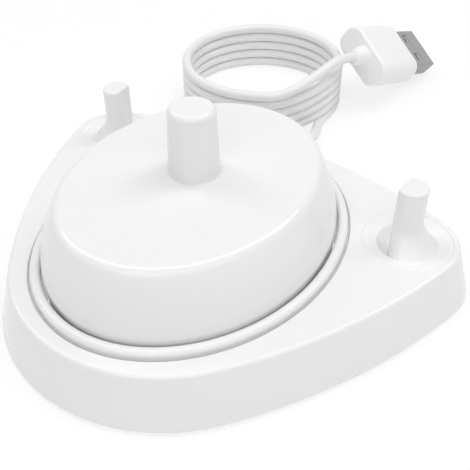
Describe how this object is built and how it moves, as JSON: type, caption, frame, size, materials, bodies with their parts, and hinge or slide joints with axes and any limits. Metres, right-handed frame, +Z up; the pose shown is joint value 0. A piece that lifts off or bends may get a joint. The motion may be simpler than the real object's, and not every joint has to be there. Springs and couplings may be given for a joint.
{
  "type": "toothbrush charger with brush-head stand",
  "caption": "Oval inductive toothbrush charger with a round post, sitting in the collar of a flared stand with D-shaped brush-head pins; coiled USB cord.",
  "frame": {"origin": "on the floor under the middle of the stand's outline, without the cord", "axes": "+Z up, X from brush pin to brush pin, +Y to the back where the cord leaves"},
  "size_m": [0.094, 0.1459, 0.0362],
  "materials": {
    "white_gloss": "polished moulded plastic",
    "white_satin": "satin moulded plastic",
    "grey_rubber": "matte",
    "screw_steel": "zinc plated",
    "board_green": "solder mask",
    "bobbin_black": "moulded",
    "ferrite_grey": "sintered",
    "copper": "enamelled wire",
    "film_yellow": "moulded case",
    "can_aluminium": "drawn can",
    "chip_black": "moulded epoxy",
    "ceramic_tan": "ceramic",
    "wire_red": "insulated wire",
    "cord_white": "smooth flexible sheath",
    "plug_white": "satin overmould",
    "plug_steel": "stamped nickel plate",
    "insert_white": "moulded",
    "contact_gold": "gold plate"
  },
  "bodies": {
    "charger": {"charger_housing": "white_gloss", "charger_base_cover": "white_satin", "base_seal": "grey_rubber", "charger_feet": "grey_rubber", "cover_screws": "screw_steel", "board_screws": "screw_steel", "circuit_board": "board_green", "coil_bobbin": "bobbin_black", "ferrite_core": "ferrite_grey", "filter_inductor": "ferrite_grey", "coil_winding": "copper", "coil_leads": "copper", "resonance_capacitor": "film_yellow", "smoothing_capacitor": "can_aluminium", "driver_chip": "chip_black", "chip_components": "ceramic_tan", "cord_conductors": "wire_red", "cord_gland": "cord_white", "cord_lead": "cord_white", "cord_coil": "cord_white", "cord_tail": "cord_white", "plug_body": "plug_white", "plug_shell": "plug_steel", "plug_insert": "insert_white", "plug_contacts": "contact_gold"},
    "stand": {"stand_shell": "white_gloss", "brush_pins": "white_gloss", "stand_feet": "grey_rubber"}
  },
  "joints": [
    {"name": "stand_lift", "type": "slide", "parent": "charger", "child": "stand", "axis": [0, 0, 1], "range_m": [0, 0.04]}
  ]
}
